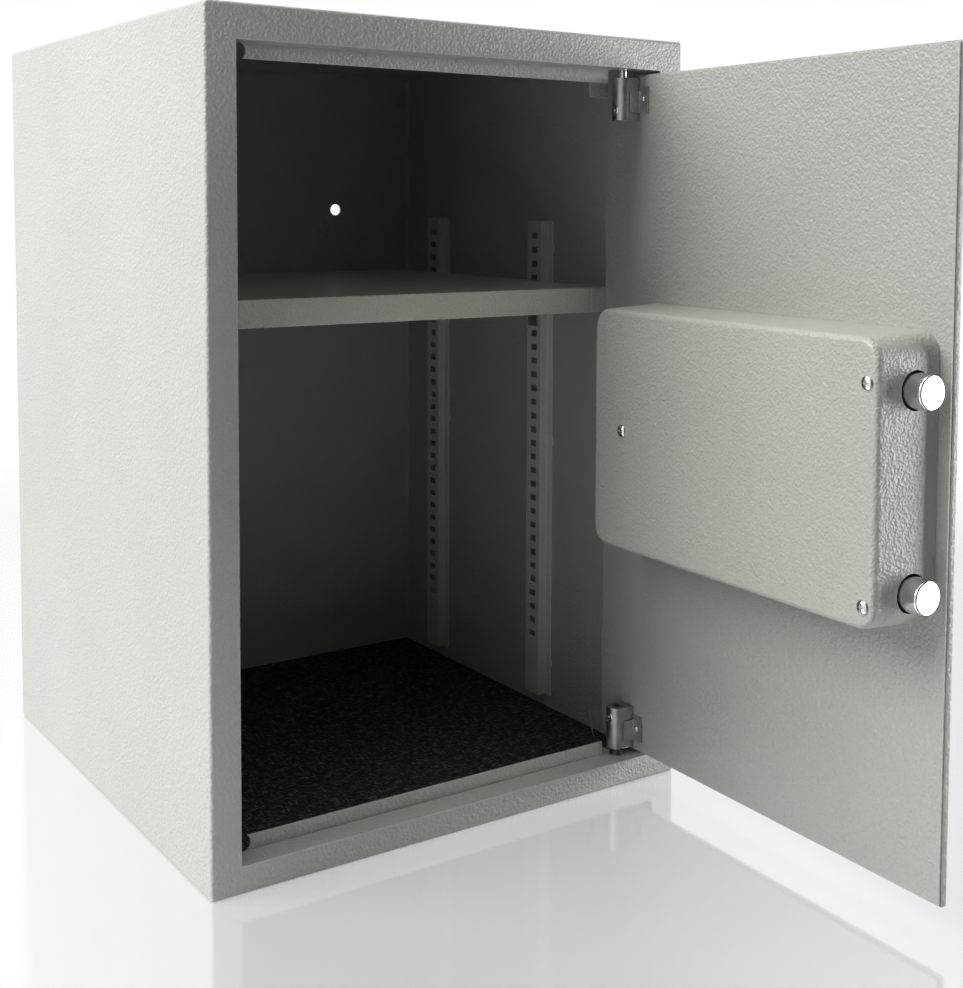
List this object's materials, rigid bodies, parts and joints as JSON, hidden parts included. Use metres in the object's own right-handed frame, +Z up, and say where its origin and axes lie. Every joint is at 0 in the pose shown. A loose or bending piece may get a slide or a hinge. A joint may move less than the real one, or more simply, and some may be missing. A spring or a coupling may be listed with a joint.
{
  "type": "document safe",
  "caption": "Upright sheet-steel document safe with a hinged plate door, sliding round bolts behind a pressed lock cover, a turning knob, key lock, lift-out shelf and perforated rails.",
  "frame": {"origin": "middle of the cabinet's underside", "axes": "+X towards the hinge side, +Y towards the back panel, +Z up; the door opens towards -Y"},
  "size_m": [0.35, 0.6544, 0.52],
  "materials": {
    "cabinet_paint": "light grey textured powder coat",
    "door_paint": "grey textured powder coat",
    "cover_paint": "grey-beige hammered powder coat",
    "shelf_paint": "cream-grey textured powder coat",
    "zinc": "zinc-plated steel",
    "bright_steel": "bright turned steel",
    "chrome": "polished",
    "black_plastic": "moulded",
    "felt": "needle felt"
  },
  "bodies": {
    "cabinet": {"body_shell": "cabinet_paint", "back_panel": "cabinet_paint", "stop_strip_top": "cabinet_paint", "stop_strip_bottom": "cabinet_paint", "strike_plate": "zinc", "hinge_plate_top": "cabinet_paint", "hinge_plate_bottom": "cabinet_paint", "shelf_rail_front_left": "cabinet_paint", "shelf_rail_front_right": "cabinet_paint", "shelf_rail_rear_left": "cabinet_paint", "shelf_rail_rear_right": "cabinet_paint", "shelf_clip_front_left": "zinc", "shelf_clip_front_right": "zinc", "shelf_clip_rear_left": "zinc", "shelf_clip_rear_right": "zinc", "floor_mat": "felt"},
    "door": {"door_plate": "door_paint", "door_liner": "door_paint", "hinge_block_top": "zinc", "hinge_pin_top": "bright_steel", "hinge_screw_top": "bright_steel", "hinge_clip_top": "zinc", "hinge_block_bottom": "zinc", "hinge_pin_bottom": "bright_steel", "hinge_screw_bottom": "bright_steel", "hinge_clip_bottom": "zinc", "clip_screw_top": "bright_steel", "clip_screw_bottom": "bright_steel", "lock_cover": "cover_paint", "cover_screw_upper": "bright_steel", "cover_screw_middle": "bright_steel", "cover_screw_lower": "bright_steel", "cover_post": "zinc", "bolt_guide": "zinc", "spindle_bush": "bright_steel", "knob_collar": "bright_steel", "key_collar": "bright_steel", "lock_case": "zinc", "lock_case_lid": "zinc"},
    "boltwork": {"bolt_upper": "chrome", "bolt_lower": "chrome", "bolt_carriage": "zinc", "bolt_nut_upper": "bright_steel", "bolt_nut_lower": "bright_steel"},
    "knob": {"knob": "black_plastic", "knob_spindle": "bright_steel", "crank": "zinc"},
    "key_rotor": {"key_rotor": "bright_steel"},
    "lock_bolt": {"lock_bolt": "bright_steel"},
    "shelf": {"shelf": "shelf_paint"}
  },
  "joints": [
    {"name": "door_hinge", "type": "hinge", "parent": "cabinet", "child": "door", "pos_m": [0.1348, -0.1752, 0.258], "axis": [0, 0, 1], "range_deg": [-88.3, 5]},
    {"name": "knob_turn", "type": "hinge", "parent": "door", "child": "knob", "pos_m": [0.13841, -0.36719, 0.2524], "axis": [0.9996, -0.0297, 0], "range_deg": [0, 90]},
    {"name": "bolt_slide", "type": "slide", "parent": "door", "child": "boltwork", "axis": [-0.0297, -0.9996, 0], "range_m": [0, 0.017]},
    {"name": "key_turn", "type": "hinge", "parent": "door", "child": "key_rotor", "pos_m": [0.14075, -0.28808, 0.2524], "axis": [0.9996, -0.0297, 0], "range_deg": [0, 90]},
    {"name": "lock_bolt_slide", "type": "slide", "parent": "door", "child": "lock_bolt", "axis": [-0.0297, -0.9996, 0], "range_m": [0, 0.008]},
    {"name": "shelf_lift", "type": "slide", "parent": "cabinet", "child": "shelf", "axis": [0, 0, 1], "range_m": [0, 0.03]}
  ],
  "couplings": [
    {"joint": "knob_turn", "follows": "bolt_slide", "rad_per_m": 92.39},
    {"joint": "key_turn", "follows": "lock_bolt_slide", "rad_per_m": 195.9}
  ]
}
